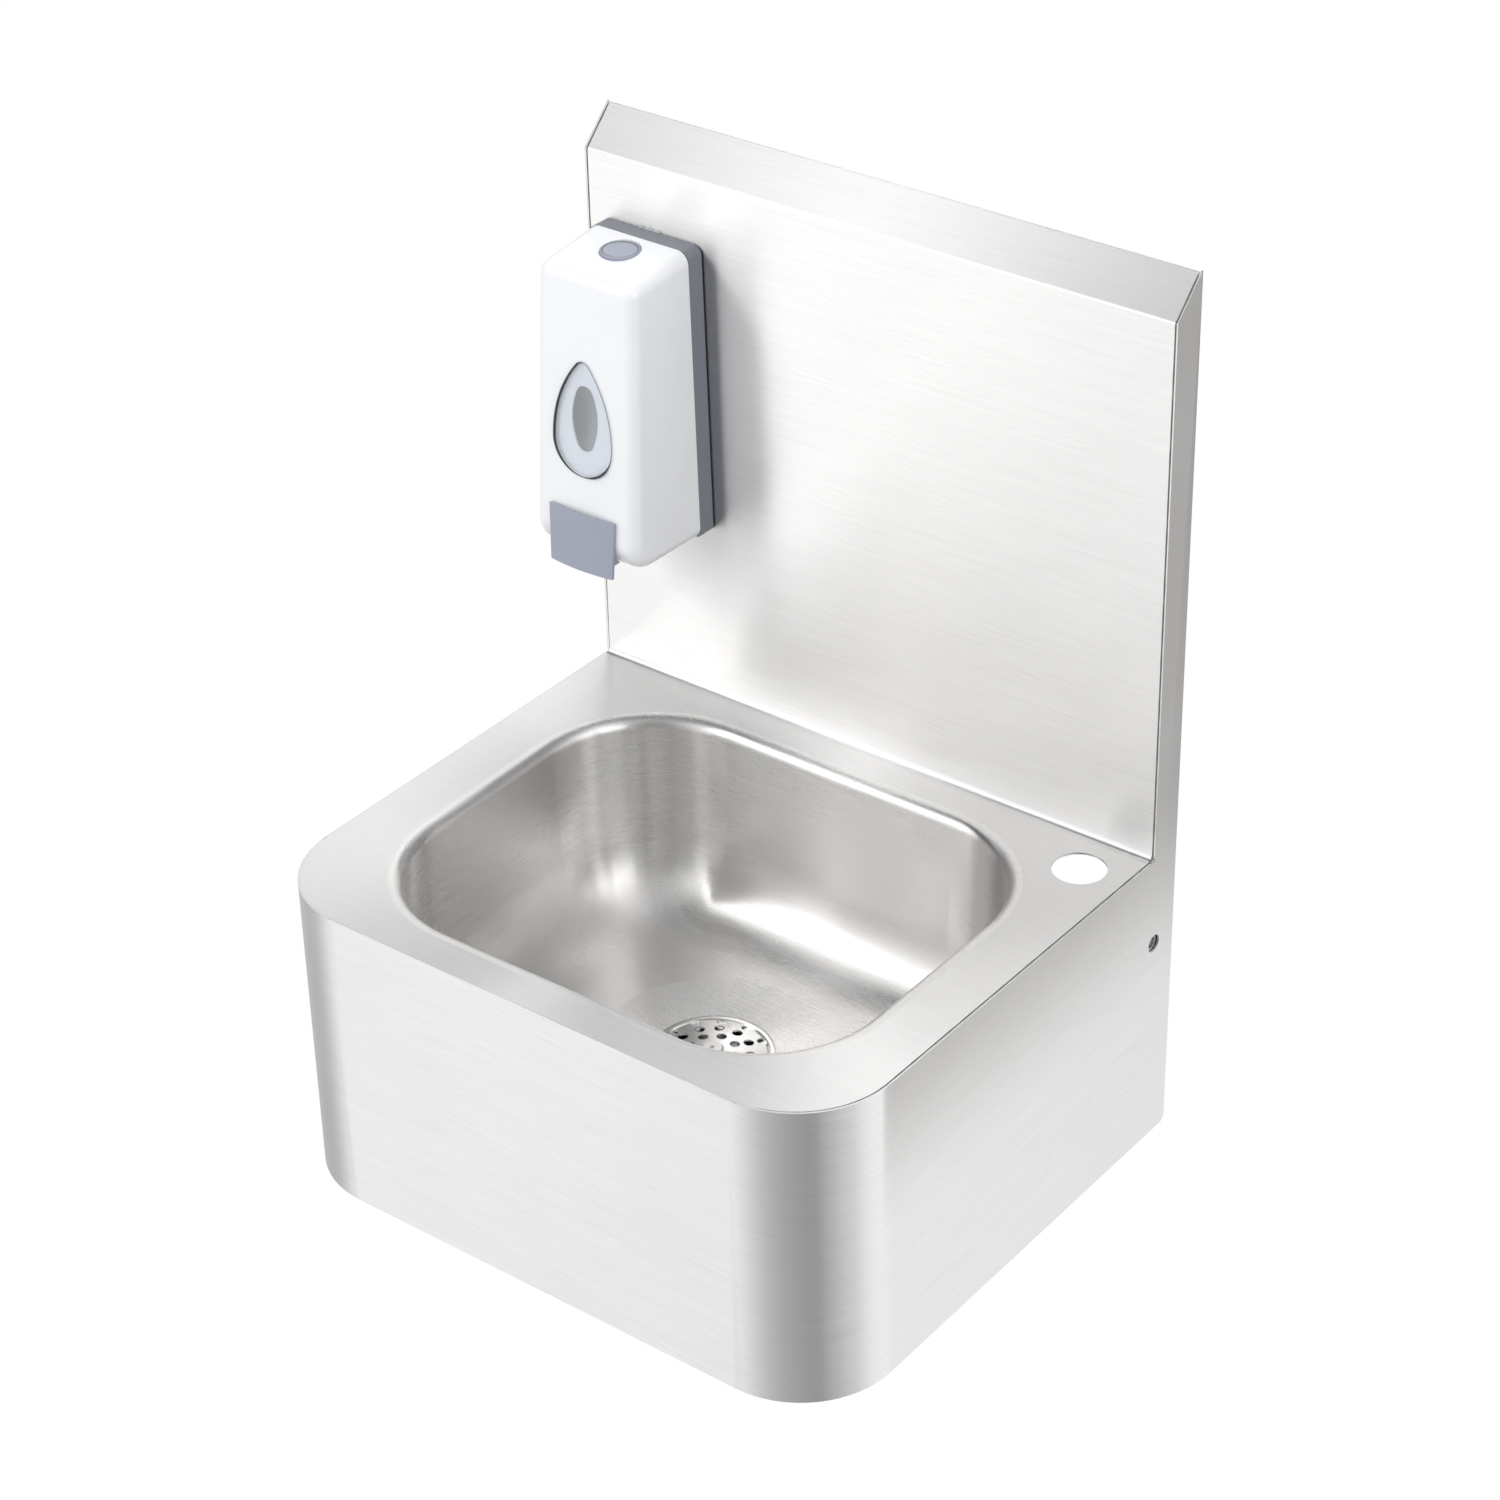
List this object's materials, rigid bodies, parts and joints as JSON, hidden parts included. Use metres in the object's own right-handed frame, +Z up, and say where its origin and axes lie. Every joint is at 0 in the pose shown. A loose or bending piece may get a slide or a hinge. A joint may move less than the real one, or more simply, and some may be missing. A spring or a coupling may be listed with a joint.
{
  "type": "hand wash sink",
  "caption": "Wall-hung folded steel hand wash sink with high splashback, pressed bowl and strainer waste, open tap hole, and a lever soap dispenser with a hinged cover.",
  "frame": {"origin": "midway between the wall bracket's two fixing holes, on the wall's face", "axes": "+X to the right as seen by the user, +Y into the wall, +Z up"},
  "size_m": [0.4, 0.34, 0.556],
  "materials": {
    "sheet_steel": "brushed along its length",
    "bowl_steel": "satin",
    "waste_steel": "polished",
    "bracket_steel": "mill finish",
    "pin_steel": "bright drawn",
    "seal_rubber": "matte",
    "nut_plastic": "moulded",
    "cover_plastic": "white, smooth",
    "plate_plastic": "grey, satin",
    "lever_plastic": "grey, satin",
    "ring_plastic": "pale grey",
    "lens_clear": "clear plastic",
    "tank_plastic": "translucent",
    "pump_plastic": "moulded",
    "pad_foam": "clear adhesive strip"
  },
  "bodies": {
    "sink": {"deck_splashback": "sheet_steel", "apron": "sheet_steel", "bowl": "bowl_steel", "wall_bracket": "bracket_steel", "tab_nuts": "pin_steel", "hanging_rail": "bracket_steel", "waste_body": "waste_steel", "strainer": "waste_steel", "strainer_screw": "waste_steel", "upper_seal": "seal_rubber", "lower_seal": "seal_rubber", "slip_washer": "nut_plastic", "back_nut": "nut_plastic", "mounting_pads": "pad_foam", "back_plate": "plate_plastic", "hinge_pins": "pin_steel", "reservoir": "tank_plastic", "pump_body": "pump_plastic", "inlet_ball": "pin_steel", "pump_nut": "pump_plastic", "pump_gasket": "seal_rubber", "pump_spring": "pin_steel"},
    "cover": {"front_cover": "cover_plastic", "window_lens": "lens_clear", "window_ring": "ring_plastic", "button_guide": "cover_plastic", "button_spring": "pin_steel", "lever_pin": "pin_steel"},
    "button": {"lock_button": "lever_plastic"},
    "lever": {"press_lever": "lever_plastic"},
    "pump": {"pump_stem": "pump_plastic", "piston_seal": "seal_rubber", "nozzle": "pump_plastic"},
    "cap": {"filler_cap": "pump_plastic"}
  },
  "joints": [
    {"name": "cover_open", "type": "hinge", "parent": "sink", "child": "cover", "pos_m": [-0.1517, -0.0398, 0.203], "axis": [1, 0, 0], "range_deg": [0, 75]},
    {"name": "lever_press", "type": "hinge", "parent": "cover", "child": "lever", "pos_m": [-0.1517, -0.07735, 0.217], "axis": [1, 0, 0], "range_deg": [0, 15], "stiffness_Nm_per_rad": 1.2, "springref_deg": -11.46},
    {"name": "pump_stroke", "type": "slide", "parent": "sink", "child": "pump", "axis": [0, 0, 1], "range_m": [0, 0.0079], "deforming": ["pump_spring"]},
    {"name": "lock_button_press", "type": "slide", "parent": "cover", "child": "button", "axis": [0, 0, -1], "range_m": [0, 0.003], "stiffness_N_per_m": 300, "springref_m": -0.002, "deforming": ["button_spring"]},
    {"name": "filler_cap_turn", "type": "hinge", "parent": "sink", "child": "cap", "pos_m": [-0.1517, -0.0525, 0.36], "axis": [0, 0, 1], "range_deg": [0, 90]}
  ],
  "couplings": [
    {"joint": "pump_stroke", "follows": "lever_press", "m_per_rad": 0.03}
  ]
}
